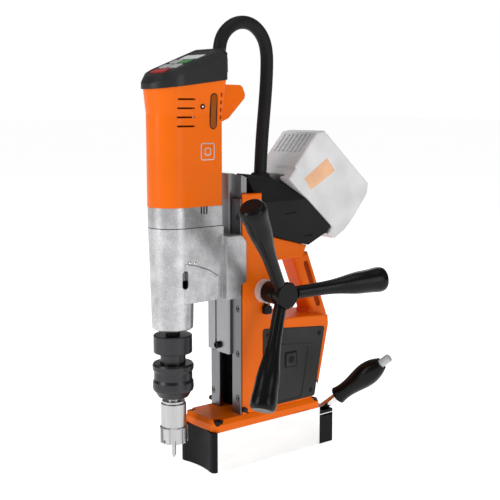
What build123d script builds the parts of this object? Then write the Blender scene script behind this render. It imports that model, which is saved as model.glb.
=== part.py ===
from build123d import *
from math import atan2, cos, hypot, pi, radians, sin, sqrt, tan
import os

os.makedirs("parts", exist_ok=True)

# Cordless magnetic drill press, in millimetres.
# The origin is the centre of the magnet's pole face. -Y is the drill side, +X the crank side.

# magnet foot
magnet_width = 80.0
magnet_length = 194.0
magnet_height = 58.6
rotor_radius = 21.0
rotor_height = 29.3
running_gap = 0.05
divider_width = 8.0
divider_depth = 3.0
cover_lift = 0.8
cover_depth = 7.2
cover_recess = 4.2
rear_depth = 28.7
rear_wall = 4.0
rear_shell_top = 46.2
rear_trim_thickness = 1.2
rear_top = 51.5

# magnet lever, swinging about the rotor's own axis
lever_y = magnet_length / 2 + 10.0
lever_reach = (125.2, 50.0, 114.1)
lever_rod_radius = 6.0
lever_slot_gap = 0.8
grip_start = 69.5
grip_end = 160.0
button_travel = 4.0
button_stem = 3.0

# base plate and stand
plate_thickness = 16.4
plate_front = -100.6
plate_bevel = 6.6
plate_bevel_in = 3.6
stand_half_width = 37.0
column_front = -44.0
column_back = 2.0
column_top = 390.0
body_back = 92.5
body_back_top = 116.5
body_top = 206.0
shoulder_height = 185.0
loop_top = 291.0
handle_half_width = 18.0
cover_panel_thickness = 3.5
cover_panel_gap = 0.4
board_thickness = 1.6

# guide rails and carriage
rail_inner = 15.0
rail_outer = 35.2
rail_front = -51.8
cheek_front = -49.9
gib_height = 82.5
gib_radius = 3.6
rail_top = 383.5
rail_screw_x = 29.0
rail_screw_first = 98.0
rail_screw_pitch = 65.0
slide_gap = 0.3
beam_front = -56.8
beam_bottom = 160.0
flange_reach = 34.8
beam_top = 418.0
wing_half_width = 26.0
wing_back = -34.0

# rack and pinion feed
crank_y = -12.0
crank_z = 251.0
feed_module = 1.2
feed_teeth = 20
feed_width = 16.0
rack_bottom = 182.0
rack_top = 338.0
shaft_radius = 7.0

# crank
arm_plane_x = 78.3
arm_length = 155.0
arm_tilt = 14.5
arm_angle = 3.9
dial_radius = 17.0
hub_radius = 14.5
hub_back = 52.0
hub_front = 91.0

# drill axis, gearbox and motor
drill_y = -143.6
case_half_width = 32.6
case_rear = -79.0
nose_bottom = 208.5
case_bottom = 246.0
case_joint = 349.0
lid_top = 377.0
case_wall = 5.5
clamp_half_width = 40.0
clamp_rear = -45.6
motor_wall = 3.0
flare_start = 500.0
flare_half_width = 38.5
cap_rear = -72.0
parting_height = 538.3
parting_slope = 7.0
panel_height = 561.0
panel_y = -148.0
panel_slope = 21.0

# gear train
gear_module = 1.5
wheel_teeth = 32
pinion_teeth = 12
gear_backlash = 0.05
spindle_radius = 10.0
counter_radius = 5.0

# battery dock and battery
dock_half_width = 40.0
dock_wall = 3.0
dock_facet_height = 377.0
dock_ridge_half_width = 13.0
seat_start_y = 46.0
seat_start_z = 396.0
seat_end_y = 116.0
seat_end_z = 334.0
seat_gap = 0.5
dock_front = -14.0
pack_half_width = 39.5
pack_start = -20.0
pack_end = 122.0
pack_height = 97.0

# cable hose
hose_radius = 9.25
hose_x = 0.0
hose_y = 12.0
flange_wall = 4.5
flange_gap = 0.3

plate_top = magnet_height + plate_thickness
magnet_front = -magnet_length / 2
magnet_back = magnet_length / 2
half_width = magnet_width / 2
gear_distance = gear_module * (wheel_teeth + pinion_teeth) / 2
counter_y = drill_y + gear_distance
feed_radius = feed_module * feed_teeth / 2
rack_line = crank_y - feed_radius


def cap_screw(head_radius, head_height, shank_radius, shank_length):
    """Socket head screw pointing down, with the underside of its head at the origin."""
    with BuildPart() as screw:
        Cylinder(head_radius, head_height, align=(Align.CENTER, Align.CENTER, Align.MIN))
        chamfer(screw.edges().sort_by(Axis.Z)[-1], head_height * 0.12)
        Cylinder(shank_radius, shank_length, align=(Align.CENTER, Align.CENTER, Align.MAX))
        with BuildSketch(Plane.XY.offset(head_height)):
            RegularPolygon(head_radius * 0.55, 6)
        extrude(amount=-head_height * 0.6, mode=Mode.SUBTRACT)
    return screw.part


def barrel_outline(height, radius, rear, corner=6.0):
    """Plan of the motor and gearbox: round about the drill axis in front, square behind."""
    with BuildSketch(Plane.XY.offset(height)) as outline:
        with Locations((0, drill_y)):
            Circle(radius)
            Rectangle(2 * radius, rear - drill_y, align=(Align.CENTER, Align.MIN))
        fillet(outline.vertices().group_by(Axis.Y)[-1], corner)
    return outline.sketch


def gear_outline(teeth, module, backlash, first_tooth):
    """Points of a spur gear's outline, with one tooth centred on the angle first_tooth."""
    pitch_angle = 2 * pi / teeth
    radius = module * teeth / 2
    shape = [
        (radius - 1.2 * module, 0.36 - backlash),
        (radius, 0.25 - backlash),
        (radius + 0.85 * module, 0.12 - backlash / 2),
    ]
    points = []
    for tooth in range(teeth):
        centre = radians(first_tooth) + tooth * pitch_angle
        rising = [(r, centre - share * pitch_angle) for r, share in shape]
        falling = [(r, centre + share * pitch_angle) for r, share in reversed(shape)]
        points += [(r * cos(a), r * sin(a)) for r, a in rising + falling]
    return points


# ---------------------------------------------------------------- magnet foot
plate_screw_x = 32.0
plate_screw_front = -90.0
plate_screw_back = 90.0
plate_screw_spots = [
    (-plate_screw_x, plate_screw_front),
    (plate_screw_x, plate_screw_front),
    (-plate_screw_x, plate_screw_back),
    (plate_screw_x, plate_screw_back),
]
plate_head_radius = 6.5
plate_head_height = 6.0
plate_shank_radius = 4.0
plate_shank_length = 22.0
plate_bore_depth = 8.0

with BuildPart() as magnet_body:
    with BuildSketch(Plane.XY):
        Rectangle(magnet_width, magnet_length)
    extrude(amount=magnet_height)
    with BuildSketch(Plane.XZ):
        with Locations((0, rotor_height)):
            Circle(rotor_radius + running_gap)
    extrude(amount=magnet_length, both=True, mode=Mode.SUBTRACT)
    with BuildSketch(Plane.XY):
        Rectangle(divider_width, magnet_length)
    extrude(amount=divider_depth, mode=Mode.SUBTRACT)
    with Locations([(x, y, magnet_height) for x, y in plate_screw_spots]):
        Hole(plate_shank_radius + running_gap, depth=plate_shank_length)
magnet_body.part.label = "magnet_body"
export_step(magnet_body.part, "parts/magnet_body.step")

with BuildPart() as pole_divider:
    with BuildSketch(Plane.XY):
        Rectangle(divider_width, magnet_length)
    extrude(amount=divider_depth)
pole_divider.part.label = "pole_divider"
export_step(pole_divider.part, "parts/pole_divider.step")

with BuildPart() as foot_front_cover:
    with BuildSketch(Plane.XY.offset(cover_lift)) as cover_plan:
        with BuildLine():
            Polyline(
                (-half_width + 9, magnet_front - cover_depth),
                (-half_width, magnet_front - cover_depth),
                (-half_width, magnet_front),
                (half_width, magnet_front),
                (half_width, magnet_front - cover_depth),
                (half_width - 9, magnet_front - cover_depth),
            )
            ThreePointArc(
                (half_width - 9, magnet_front - cover_depth),
                (0, magnet_front - cover_depth + cover_recess),
                (-half_width + 9, magnet_front - cover_depth),
            )
        make_face()
        front_corners = cover_plan.vertices().group_by(Axis.Y)[0].sort_by(Axis.X)
        fillet([front_corners[0], front_corners[-1]], 5.0)
    extrude(amount=magnet_height - cover_lift)
foot_front_cover.part.label = "foot_front_cover"
export_step(foot_front_cover.part, "parts/foot_front_cover.step")

lever_length = sqrt(sum(value**2 for value in lever_reach))
lever_axis = Vector(*lever_reach).normalized()
lever_origin = Vector(0, lever_y, rotor_height)
lever_frame = Plane(origin=lever_origin, x_dir=(0, 0, 1), z_dir=lever_axis)
rest_lean = lever_reach[1] / lever_reach[2]
upright_lean = lever_reach[1] / hypot(lever_reach[0], lever_reach[2])
slot_clear = 1.07 * lever_rod_radius + lever_slot_gap
slot_front = lever_y + upright_lean * (rear_shell_top - 3 - rotor_height) - slot_clear
slot_back = lever_y + rest_lean * (rear_top - rotor_height) + slot_clear
slot_side = (slot_back - slot_front) / 2
slot_middle = (slot_back + slot_front) / 2

with BuildPart() as foot_rear_shell:
    with BuildSketch(Plane.XY.offset(cover_lift)) as rear_plan:
        with Locations((0, magnet_back)):
            Rectangle(magnet_width, rear_depth, align=(Align.CENTER, Align.MIN))
        fillet(rear_plan.vertices().group_by(Axis.Y)[-1], 3.0)
    extrude(amount=rear_shell_top - cover_lift)
    with BuildSketch(Plane.XY.offset(cover_lift + rear_wall)):
        with Locations((0, magnet_back)):
            Rectangle(
                magnet_width - 2 * rear_wall,
                rear_depth - rear_wall,
                align=(Align.CENTER, Align.MIN),
            )
    extrude(amount=rear_shell_top, mode=Mode.SUBTRACT)
    with BuildSketch(Plane.XY.offset(rear_shell_top - 3)):
        with Locations((0, slot_middle)):
            Rectangle(magnet_width + 2, 2 * slot_side)
    extrude(amount=6, mode=Mode.SUBTRACT)
foot_rear_shell.part.label = "foot_rear_shell"
export_step(foot_rear_shell.part, "parts/foot_rear_shell.step")


def rear_slab(bottom, top):
    """Slab of the rear housing's plan between two heights, with the lever's slot."""
    with BuildPart() as slab:
        with BuildSketch(Plane.XY.offset(bottom)) as slab_plan:
            with Locations((0, magnet_back)):
                Rectangle(magnet_width, rear_depth, align=(Align.CENTER, Align.MIN))
            fillet(slab_plan.vertices().group_by(Axis.Y)[-1], 3.0)
            with Locations((0, slot_middle)):
                Rectangle(magnet_width - 4, 2 * slot_side, mode=Mode.SUBTRACT)
        extrude(amount=top - bottom)
    return slab.part


rear_trim_top = rear_shell_top + rear_trim_thickness
with BuildPart() as foot_rear_trim:
    add(rear_slab(rear_shell_top, rear_trim_top))
foot_rear_trim.part.label = "foot_rear_trim"
export_step(foot_rear_trim.part, "parts/foot_rear_trim.step")

with BuildPart() as foot_rear_lid:
    add(rear_slab(rear_trim_top, rear_top))
foot_rear_lid.part.label = "foot_rear_lid"
export_step(foot_rear_lid.part, "parts/foot_rear_lid.step")

# Permanent-magnet rotor with the lever's boss on its rear end.
rotor_face_gap = 1.5
boss_radius = 13.0
boss_half_depth = 10.0
with BuildPart() as magnet_rotor:
    with BuildSketch(Plane.XZ.offset(-(magnet_back - rotor_face_gap))):
        with Locations((0, rotor_height)):
            Circle(rotor_radius)
    extrude(amount=magnet_length - 2 * rotor_face_gap)
    with BuildSketch(Plane.XZ.offset(-(lever_y + boss_half_depth))):
        with Locations((0, rotor_height)):
            Circle(boss_radius)
    extrude(amount=lever_y + boss_half_depth - magnet_back + rotor_face_gap)
    with BuildSketch(lever_frame):
        Circle(lever_rod_radius)
    extrude(amount=boss_radius + 6, mode=Mode.SUBTRACT)
magnet_rotor.part.label = "magnet_rotor"
export_step(magnet_rotor.part, "parts/magnet_rotor.step")

with BuildPart() as lever_rod:
    with BuildSketch(lever_frame):
        Circle(lever_rod_radius)
    extrude(amount=grip_end - 2 * button_travel)
    with BuildSketch(lever_frame.offset(grip_end - 40)):
        Circle(button_stem + 0.2)
    extrude(amount=40, mode=Mode.SUBTRACT)
lever_rod.part.label = "lever_rod"
export_step(lever_rod.part, "parts/lever_rod.step")

lever_side = Plane(origin=lever_origin, x_dir=lever_axis, z_dir=lever_frame.y_dir)
grip_bore = lever_rod_radius
button_radius = 6.4
button_depth = button_travel + 2.0
with BuildPart() as lever_grip:
    with BuildSketch(lever_side):
        with BuildLine():
            Polyline(
                (grip_end, 9.4),
                (grip_end, button_radius + 0.3),
                (grip_end - button_depth, button_radius + 0.3),
                (grip_end - button_depth, grip_bore),
                (grip_start, grip_bore),
                (grip_start, 13.6),
            )
            Spline(
                (grip_start, 13.6),
                (grip_start + 15, 12.2),
                (grip_start + 38, 14.8),
                (grip_start + 62, 17.4),
                (grip_end - 9, 13.6),
                (grip_end, 9.4),
            )
        make_face()
    revolve(axis=Axis(lever_origin, lever_axis))
lever_grip.part.label = "lever_grip"
export_step(lever_grip.part, "parts/lever_grip.step")

with BuildPart() as lever_button:
    with BuildSketch(lever_frame.offset(grip_end - 1.5)):
        Circle(button_radius)
    extrude(amount=lever_length - grip_end + 1.5)
    chamfer(lever_button.edges().sort_by(Axis(lever_origin, lever_axis))[-1], 1.2)
    with BuildSketch(lever_frame.offset(grip_end - 1.5)):
        Circle(button_stem)
    extrude(amount=-(38 - 2 * button_travel))
lever_button.part.label = "lever_button"
export_step(lever_button.part, "parts/lever_button.step")

# ---------------------------------------------------------------- base plate and screws
with BuildPart() as base_plate:
    with BuildSketch(Plane.XY.offset(magnet_height)) as plate_plan:
        with Locations((0, plate_front)):
            Rectangle(
                magnet_width, magnet_back - plate_front, align=(Align.CENTER, Align.MIN)
            )
        chamfer(plate_plan.vertices().group_by(Axis.Y)[0], 9.0)
        chamfer(plate_plan.vertices().group_by(Axis.Y)[-1], 3.0)
    extrude(amount=plate_thickness)
    plate_face = base_plate.faces().sort_by(Axis.Z)[-1]
    chamfer(plate_face.outer_wire().edges(), plate_bevel_in, plate_bevel, reference=plate_face)
    with Locations([(x, y, plate_top) for x, y in plate_screw_spots]):
        CounterBoreHole(
            plate_shank_radius + running_gap, plate_head_radius + 0.7, plate_bore_depth
        )
    with BuildSketch(Plane.YZ.offset(half_width - 1.2)):
        with Locations((60, magnet_height)):
            Rectangle(30, 2.4, align=(Align.CENTER, Align.MIN))
    extrude(amount=2, mode=Mode.SUBTRACT)
base_plate.part.label = "base_plate"
export_step(base_plate.part, "parts/base_plate.step")

plate_screw = cap_screw(
    plate_head_radius, plate_head_height, plate_shank_radius, plate_shank_length
)
with BuildPart() as base_screws:
    with Locations([(x, y, plate_top - plate_bore_depth) for x, y in plate_screw_spots]):
        add(plate_screw)
base_screws.part.label = "base_screws"
export_step(base_screws.part, "parts/base_screws.step")

# ---------------------------------------------------------------- stand frame
panel_outline = [
    (-13.0, plate_top + 3.0),
    (-13.0, 195.0),
    (body_back_top - 8.5, 183.0),
    (body_back - 4.0, plate_top + 3.0),
]
handle_outline = [
    (60.0, loop_top + 4),
    (93.0, loop_top + 4),
    (133.5, 195.0),
    (122.0, 176.0),
    (86.0, 176.0),
    (97.0, 207.0),
]
shoulder_outline = [
    (column_back - 4, loop_top),
    (63.0, loop_top + 2),
    (71.0, 309.0),
    (20.0, 322.5),
    (column_back - 4, 329.0),
]

with BuildPart() as grip_core:
    with BuildSketch(Plane.YZ):
        Polygon(*handle_outline, align=None)
    extrude(amount=handle_half_width, both=True)
    long_edges = grip_core.faces().filter_by(Axis.X)
    fillet([edge for face in long_edges for edge in face.edges()], 7.0)

with BuildPart() as stand_frame:
    with BuildSketch(Plane.YZ) as body_side:
        Polygon(
            (column_front, plate_top),
            (body_back, plate_top),
            (body_back_top, shoulder_height),
            (body_back_top - 1.5, body_top - 7),
            (70.0, body_top - 3),
            (column_back, body_top),
            (column_back, dock_facet_height - 1),
            (dock_front - 0.6, dock_facet_height - 1),
            (dock_front - 0.6, column_top),
            (column_front, column_top),
            align=None,
        )
        fillet(body_side.vertices().sort_by_distance((0, column_back, body_top))[0], 10.0)
    extrude(amount=stand_half_width, both=True)
    with BuildSketch(Plane.YZ):
        Polygon(*shoulder_outline, align=None)
    extrude(amount=stand_half_width, both=True)
    outer_faces = stand_frame.faces().filter_by(Axis.X)
    fillet([edge for face in outer_faces for edge in face.edges()], 2.0)
    add(grip_core.part)
    # cheeks beside the rails
    with BuildSketch(Plane.XY.offset(plate_top)):
        with Locations(*[(side * (stand_half_width + rail_outer + 0.3) / 2, column_front + 1) for side in (-1, 1)]):
            Rectangle(
                stand_half_width - rail_outer - 0.3,
                column_front + 1 - cheek_front,
                align=(Align.CENTER, Align.MAX),
            )
    extrude(amount=column_top - plate_top)
    with BuildSketch(Plane.YZ):
        with Locations(((rail_front + column_front) / 2, gib_height)):
            Circle(gib_radius + 0.4)
    extrude(amount=stand_half_width + 1, both=True, mode=Mode.SUBTRACT)
    # groove along both sides of the grip
    for side in (-1, 1):
        with BuildSketch(Plane.YZ.offset(side * (handle_half_width - 2.5))):
            with Locations(Location((99.0, 246.0), 111.5)):
                SlotOverall(78, 9)
        extrude(amount=side * 6, mode=Mode.SUBTRACT)
    # channel for the carriage's wings, and the deeper one for the rack
    with BuildSketch(Plane.XY.offset(plate_top)):
        with Locations((0, column_front - 1)):
            Rectangle(
                2 * (wing_half_width + 0.5),
                wing_back + 0.5 - column_front + 1,
                align=(Align.CENTER, Align.MIN),
            )
            Rectangle(
                feed_width + 8,
                crank_y - feed_radius + 4 - column_front,
                align=(Align.CENTER, Align.MIN),
            )
    extrude(amount=column_top, mode=Mode.SUBTRACT)
    # cavity around the pinion and the bush seats through both sides
    with BuildSketch(Plane.YZ):
        with Locations((crank_y, crank_z)):
            Circle(feed_radius + 3)
    extrude(amount=feed_width / 2 + 4, both=True, mode=Mode.SUBTRACT)
    with BuildSketch(Plane.YZ):
        with Locations((crank_y, crank_z)):
            Circle(shaft_radius + 3)
    extrude(amount=stand_half_width + 1, both=True, mode=Mode.SUBTRACT)
    # electronics bay behind the side covers
    with BuildSketch(Plane.YZ) as bay:
        Polygon(*panel_outline, align=None)
        fillet(bay.vertices(), 4.0)
        offset(amount=-6, mode=Mode.REPLACE)
    extrude(amount=stand_half_width + 1, both=True, mode=Mode.SUBTRACT)
    for side in (1, -1):
        with BuildSketch(Plane.YZ.offset(side * stand_half_width)) as recess:
            Polygon(*panel_outline, align=None)
            fillet(recess.vertices(), 4.0)
        extrude(amount=-side * cover_panel_thickness, mode=Mode.SUBTRACT)
    # scoops above the rear plate screws
    with BuildSketch(Plane.XY.offset(plate_top)):
        with Locations((-plate_screw_x, plate_screw_back), (plate_screw_x, plate_screw_back)):
            Circle(plate_head_radius + 0.7)
    extrude(amount=26, mode=Mode.SUBTRACT)
    # rail screw holes
    with BuildSketch(Plane.XZ.offset(-column_front)):
        with Locations(
            [
                (side * rail_screw_x, rail_screw_first + step * rail_screw_pitch)
                for side in (-1, 1)
                for step in range(5)
            ]
        ):
            Circle(2.55)
    extrude(amount=-9.5, mode=Mode.SUBTRACT)
stand_frame.part.label = "stand_frame"
export_step(stand_frame.part, "parts/stand_frame.step")

# ---------------------------------------------------------------- guide rails
rail_screw_heights = [rail_screw_first + step * rail_screw_pitch for step in range(5)]
rail_head_radius = 4.2
rail_head_height = 4.4
rail_head_gap = 0.4


def guide_rail(side):
    """One of the two flat rails that hold the carriage's wings against the column."""
    middle = side * (rail_inner + rail_outer) / 2
    with BuildPart() as rail:
        with BuildSketch(Plane.XY.offset(plate_top)) as section:
            with Locations((middle, rail_front)):
                Rectangle(
                    rail_outer - rail_inner,
                    column_front - rail_front,
                    align=(Align.CENTER, Align.MIN),
                )
            chamfer(section.vertices().group_by(Axis.Y)[0], 0.8)
        extrude(amount=rail_top - plate_top)
        with Locations(
            [
                Plane(origin=(side * rail_screw_x, rail_front, z), z_dir=(0, -1, 0))
                for z in rail_screw_heights
            ]
        ):
            CounterBoreHole(2.55, rail_head_radius + rail_head_gap, rail_head_height + 0.6)
    return rail.part


with BuildPart() as guide_rail_right:
    add(guide_rail(1))
guide_rail_right.part.label = "guide_rail_right"
export_step(guide_rail_right.part, "parts/guide_rail_right.step")

with BuildPart() as guide_rail_left:
    add(guide_rail(-1))
guide_rail_left.part.label = "guide_rail_left"
export_step(guide_rail_left.part, "parts/guide_rail_left.step")

rail_screw = cap_screw(rail_head_radius, rail_head_height, 2.5, 11.5)
rail_head_seat = rail_front + rail_head_height + 0.6
with BuildPart() as rail_screws:
    with Locations(
        [
            Plane(origin=(side * rail_screw_x, rail_head_seat, z), z_dir=(0, -1, 0))
            for side in (-1, 1)
            for z in rail_screw_heights
        ]
    ):
        add(rail_screw)
rail_screws.part.label = "rail_screws"
export_step(rail_screws.part, "parts/rail_screws.step")

# Set screws in the sides of the rails, at their feet, that take up the slide's play.
with BuildPart() as gib_screws:
    with Locations(
        [
            Plane(origin=(side * rail_outer, (rail_front + column_front) / 2, gib_height), z_dir=(side, 0, 0))
            for side in (-1, 1)
        ]
    ):
        Cylinder(
            gib_radius,
            stand_half_width - rail_outer + 5.0,
            align=(Align.CENTER, Align.CENTER, Align.MIN),
        )
gib_screws.part.label = "gib_screws"
export_step(gib_screws.part, "parts/gib_screws.step")

# ---------------------------------------------------------------- side covers and control board
cover_screw_spots = [(96.0, 174.0), (80.0, 89.0), (-4.0, 185.0), (-4.0, 89.0)]


def side_cover(side):
    """Flat moulded cover that lies in the frame's recess over the electronics bay."""
    inner = side * (stand_half_width - cover_panel_thickness)
    with BuildPart() as cover:
        with BuildSketch(Plane.YZ.offset(inner)) as outline:
            Polygon(*panel_outline, align=None)
            fillet(outline.vertices(), 4.0)
            offset(amount=-cover_panel_gap, mode=Mode.REPLACE)
        extrude(amount=side * (cover_panel_thickness + 0.6))
        with BuildSketch(Plane.YZ.offset(side * (stand_half_width + 0.6))) as step:
            Polygon(
                (2.0, plate_top + 6.0), (2.0, 172.0), (76.0, 158.0), (62.0, plate_top + 6.0), align=None
            )
            fillet(step.vertices(), 6.0)
        extrude(amount=-side * 1.0, mode=Mode.SUBTRACT)
        with BuildSketch(Plane.YZ.offset(side * (stand_half_width + 0.6))):
            with Locations(cover_screw_spots):
                Circle(3.6)
        extrude(amount=-side * 2.2, mode=Mode.SUBTRACT)
        with BuildSketch(Plane.YZ.offset(inner)):
            with Locations(cover_screw_spots):
                Circle(1.8)
        extrude(amount=side * 6, mode=Mode.SUBTRACT)
    return cover.part


with BuildPart() as side_cover_right:
    add(side_cover(1))
side_cover_right.part.label = "side_cover_right"
export_step(side_cover_right.part, "parts/side_cover_right.step")

with BuildPart() as side_cover_left:
    add(side_cover(-1))
side_cover_left.part.label = "side_cover_left"
export_step(side_cover_left.part, "parts/side_cover_left.step")

cover_screw = cap_screw(3.2, 1.6, 1.7, 1.8)
with BuildPart() as cover_screws:
    with Locations(
        [
            Plane(origin=(side * (stand_half_width - 1.6), y, z), z_dir=(side, 0, 0))
            for side in (-1, 1)
            for y, z in cover_screw_spots
        ]
    ):
        add(cover_screw)
cover_screws.part.label = "cover_screws"
export_step(cover_screws.part, "parts/cover_screws.step")

# Circuit board on the left side cover, with its capacitors, power stage and connector.
board_x = -stand_half_width + cover_panel_thickness + 5.0
with BuildPart() as control_board:
    with BuildSketch(Plane.YZ.offset(board_x)):
        Polygon((4.0, 92.0), (4.0, 170.0), (72.0, 158.0), (66.0, 92.0), align=None)
    extrude(amount=board_thickness)
    with BuildSketch(Plane.YZ.offset(board_x + board_thickness)):
        with Locations((16, 108), (16, 124)):
            Circle(6)
    extrude(amount=22)
    with BuildSketch(Plane.YZ.offset(board_x + board_thickness)):
        with Locations((48, 118)):
            Rectangle(24, 34)
    extrude(amount=12)
    with BuildSketch(Plane.YZ.offset(board_x + board_thickness)):
        with Locations((34, 152)):
            Rectangle(26, 9)
    extrude(amount=8)
    with BuildSketch(Plane.YZ.offset(board_x - 5.0)):
        with Locations((10, 96), (10, 160), (62, 96), (62, 150)):
            Circle(2.5)
    extrude(amount=5.0)
control_board.part.label = "control_board"
export_step(control_board.part, "parts/control_board.step")

# ---------------------------------------------------------------- carriage and rack
stop_screw_spot = (-10.0, 170.0)
stop_screw_radius = 3.0
stop_screw_depth = 8.0
with BuildPart() as carriage:
    with BuildSketch(Plane.XY.offset(beam_bottom)) as beam_plan:
        with Locations((0, beam_front)):
            Rectangle(
                2 * (rail_inner - 0.4),
                column_front - beam_front + 2,
                align=(Align.CENTER, Align.MIN),
            )
        chamfer(beam_plan.vertices().group_by(Axis.Y)[0], 1.5)
        with Locations((0, column_front + slide_gap)):
            Rectangle(
                2 * wing_half_width,
                wing_back - column_front - slide_gap,
                align=(Align.CENTER, Align.MIN),
            )
    extrude(amount=beam_top - beam_bottom)
    with BuildSketch(Plane.YZ):
        Polygon(
            (wing_back + 1, beam_top + 1), (wing_back + 1, beam_top - 6), (beam_front + 6, beam_top + 1),
            align=None,
        )
    extrude(amount=wing_half_width + 1, both=True, mode=Mode.SUBTRACT)
    # flange over the left rail, below the gearbox, and the groove beside it
    with BuildSketch(Plane.XY.offset(beam_bottom + 1.5)):
        with Locations((-rail_inner + 2, beam_front)):
            Rectangle(
                flange_reach - rail_inner + 2,
                rail_front - 0.4 - beam_front,
                align=(Align.MAX, Align.MIN),
            )
    extrude(amount=case_bottom - 0.4 - beam_bottom - 1.5)
    with BuildSketch(Plane.XY.offset(beam_bottom)):
        with Locations((-rail_inner - 0.6, beam_front)):
            Rectangle(5.0, 1.4, align=(Align.CENTER, Align.MIN))
    extrude(amount=case_bottom - beam_bottom, mode=Mode.SUBTRACT)
    with Locations(
        Plane(origin=(stop_screw_spot[0], beam_front, stop_screw_spot[1]), z_dir=(0, -1, 0))
    ):
        Hole(stop_screw_radius, depth=stop_screw_depth)
carriage.part.label = "carriage"
export_step(carriage.part, "parts/carriage.step")

rack_pitch = pi * feed_module
rack_root = rack_line - 1.1 * feed_module
rack_tip = rack_line + 0.85 * feed_module
first_gap = crank_z - rack_pitch * int((crank_z - rack_bottom) / rack_pitch)
rack_points = [(rack_root, rack_bottom)]
gap_middle = first_gap
while gap_middle + rack_pitch < rack_top:
    tooth_middle = gap_middle + rack_pitch / 2
    rack_points += [
        (rack_root, tooth_middle - 0.33 * rack_pitch),
        (rack_tip, tooth_middle - 0.10 * rack_pitch),
        (rack_tip, tooth_middle + 0.10 * rack_pitch),
        (rack_root, tooth_middle + 0.33 * rack_pitch),
    ]
    gap_middle += rack_pitch
rack_points += [(rack_root, rack_top), (wing_back, rack_top), (wing_back, rack_bottom)]

with BuildPart() as feed_rack:
    with BuildSketch(Plane.YZ):
        Polygon(*rack_points, align=None)
    extrude(amount=feed_width / 2, both=True)
feed_rack.part.label = "feed_rack"
export_step(feed_rack.part, "parts/feed_rack.step")

# ---------------------------------------------------------------- pinion shaft and crank
bush_outer = shaft_radius + 3
shaft_out = 60.0
with BuildPart() as shaft_bushes:
    for side in (-1, 1):
        with BuildSketch(Plane.YZ.offset(side * (feed_width / 2 + 4.5))):
            with Locations((crank_y, crank_z)):
                Circle(bush_outer)
                Circle(shaft_radius + running_gap, mode=Mode.SUBTRACT)
        extrude(amount=side * (stand_half_width - feed_width / 2 - 4.5))
shaft_bushes.part.label = "shaft_bushes"
export_step(shaft_bushes.part, "parts/shaft_bushes.step")

# The pinion has a tooth centred towards the rack, where the rack has a gap.
with BuildPart() as pinion_shaft:
    with BuildSketch(Plane.YZ):
        with Locations((crank_y, crank_z)):
            Polygon(*gear_outline(feed_teeth, feed_module, 0.03, 180.0), align=None)
    extrude(amount=feed_width / 2, both=True)
    with BuildSketch(Plane.YZ.offset(-stand_half_width)):
        with Locations((crank_y, crank_z)):
            Circle(shaft_radius)
    extrude(amount=stand_half_width + shaft_out)
pinion_shaft.part.label = "pinion_shaft"
export_step(pinion_shaft.part, "parts/pinion_shaft.step")

# Graduated ring, held by friction on the shaft, so that it can be set to zero.
dial_back = stand_half_width + 0.6
dial_front = dial_back + 11.0
with BuildPart() as dial_ring:
    with BuildSketch(Plane.YZ.offset(dial_back)):
        with Locations((crank_y, crank_z)):
            Circle(dial_radius)
            Circle(shaft_radius + running_gap, mode=Mode.SUBTRACT)
    extrude(amount=dial_front - dial_back)
    with BuildSketch(Plane.YZ.offset(dial_front)):
        with Locations((crank_y, crank_z)):
            with PolarLocations(dial_radius, 40):
                Rectangle(1.6, 0.7)
    extrude(amount=-5, mode=Mode.SUBTRACT)
dial_ring.part.label = "dial_ring"
export_step(dial_ring.part, "parts/dial_ring.step")

with BuildPart() as depth_pointer:
    with BuildSketch(Plane.YZ.offset(stand_half_width)):
        with Locations((crank_y + 4.0, crank_z - dial_radius - 11.0)):
            RectangleRounded(13, 12, 3)
    extrude(amount=6.5)
    with BuildSketch(Plane.YZ.offset(stand_half_width)):
        with Locations((crank_y + 2.0, crank_z - dial_radius - 4.0)):
            Rectangle(3, 5)
    extrude(amount=6.5)
depth_pointer.part.label = "depth_pointer"
export_step(depth_pointer.part, "parts/depth_pointer.step")

hub_point = Vector(arm_plane_x, crank_y, crank_z)
hub_face_radius = hub_radius + 5.0
with BuildPart() as crank_hub:
    with BuildSketch(Plane.YZ.offset(hub_back - 2.5)):
        with Locations((crank_y, crank_z)):
            Circle(hub_radius + 1.0)
    extrude(amount=22.5)
    with BuildSketch(Plane.YZ.offset(hub_back + 20)):
        with Locations((crank_y, crank_z)):
            Circle(hub_radius)
    extrude(amount=hub_front - hub_back - 24)
    with BuildSketch(Plane.YZ.offset(hub_front - 4)):
        with Locations((crank_y, crank_z)):
            RegularPolygon(hub_face_radius, 12)
    extrude(amount=4)
    chamfer(crank_hub.edges().group_by(Axis.X)[-1], 1.5)
    with BuildSketch(Plane.YZ.offset(hub_back - 3)):
        with Locations((crank_y, crank_z)):
            Circle(shaft_radius)
    extrude(amount=shaft_out - hub_back + 3, mode=Mode.SUBTRACT)
crank_hub.part.label = "crank_hub"
export_step(crank_hub.part, "parts/crank_hub.step")


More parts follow.
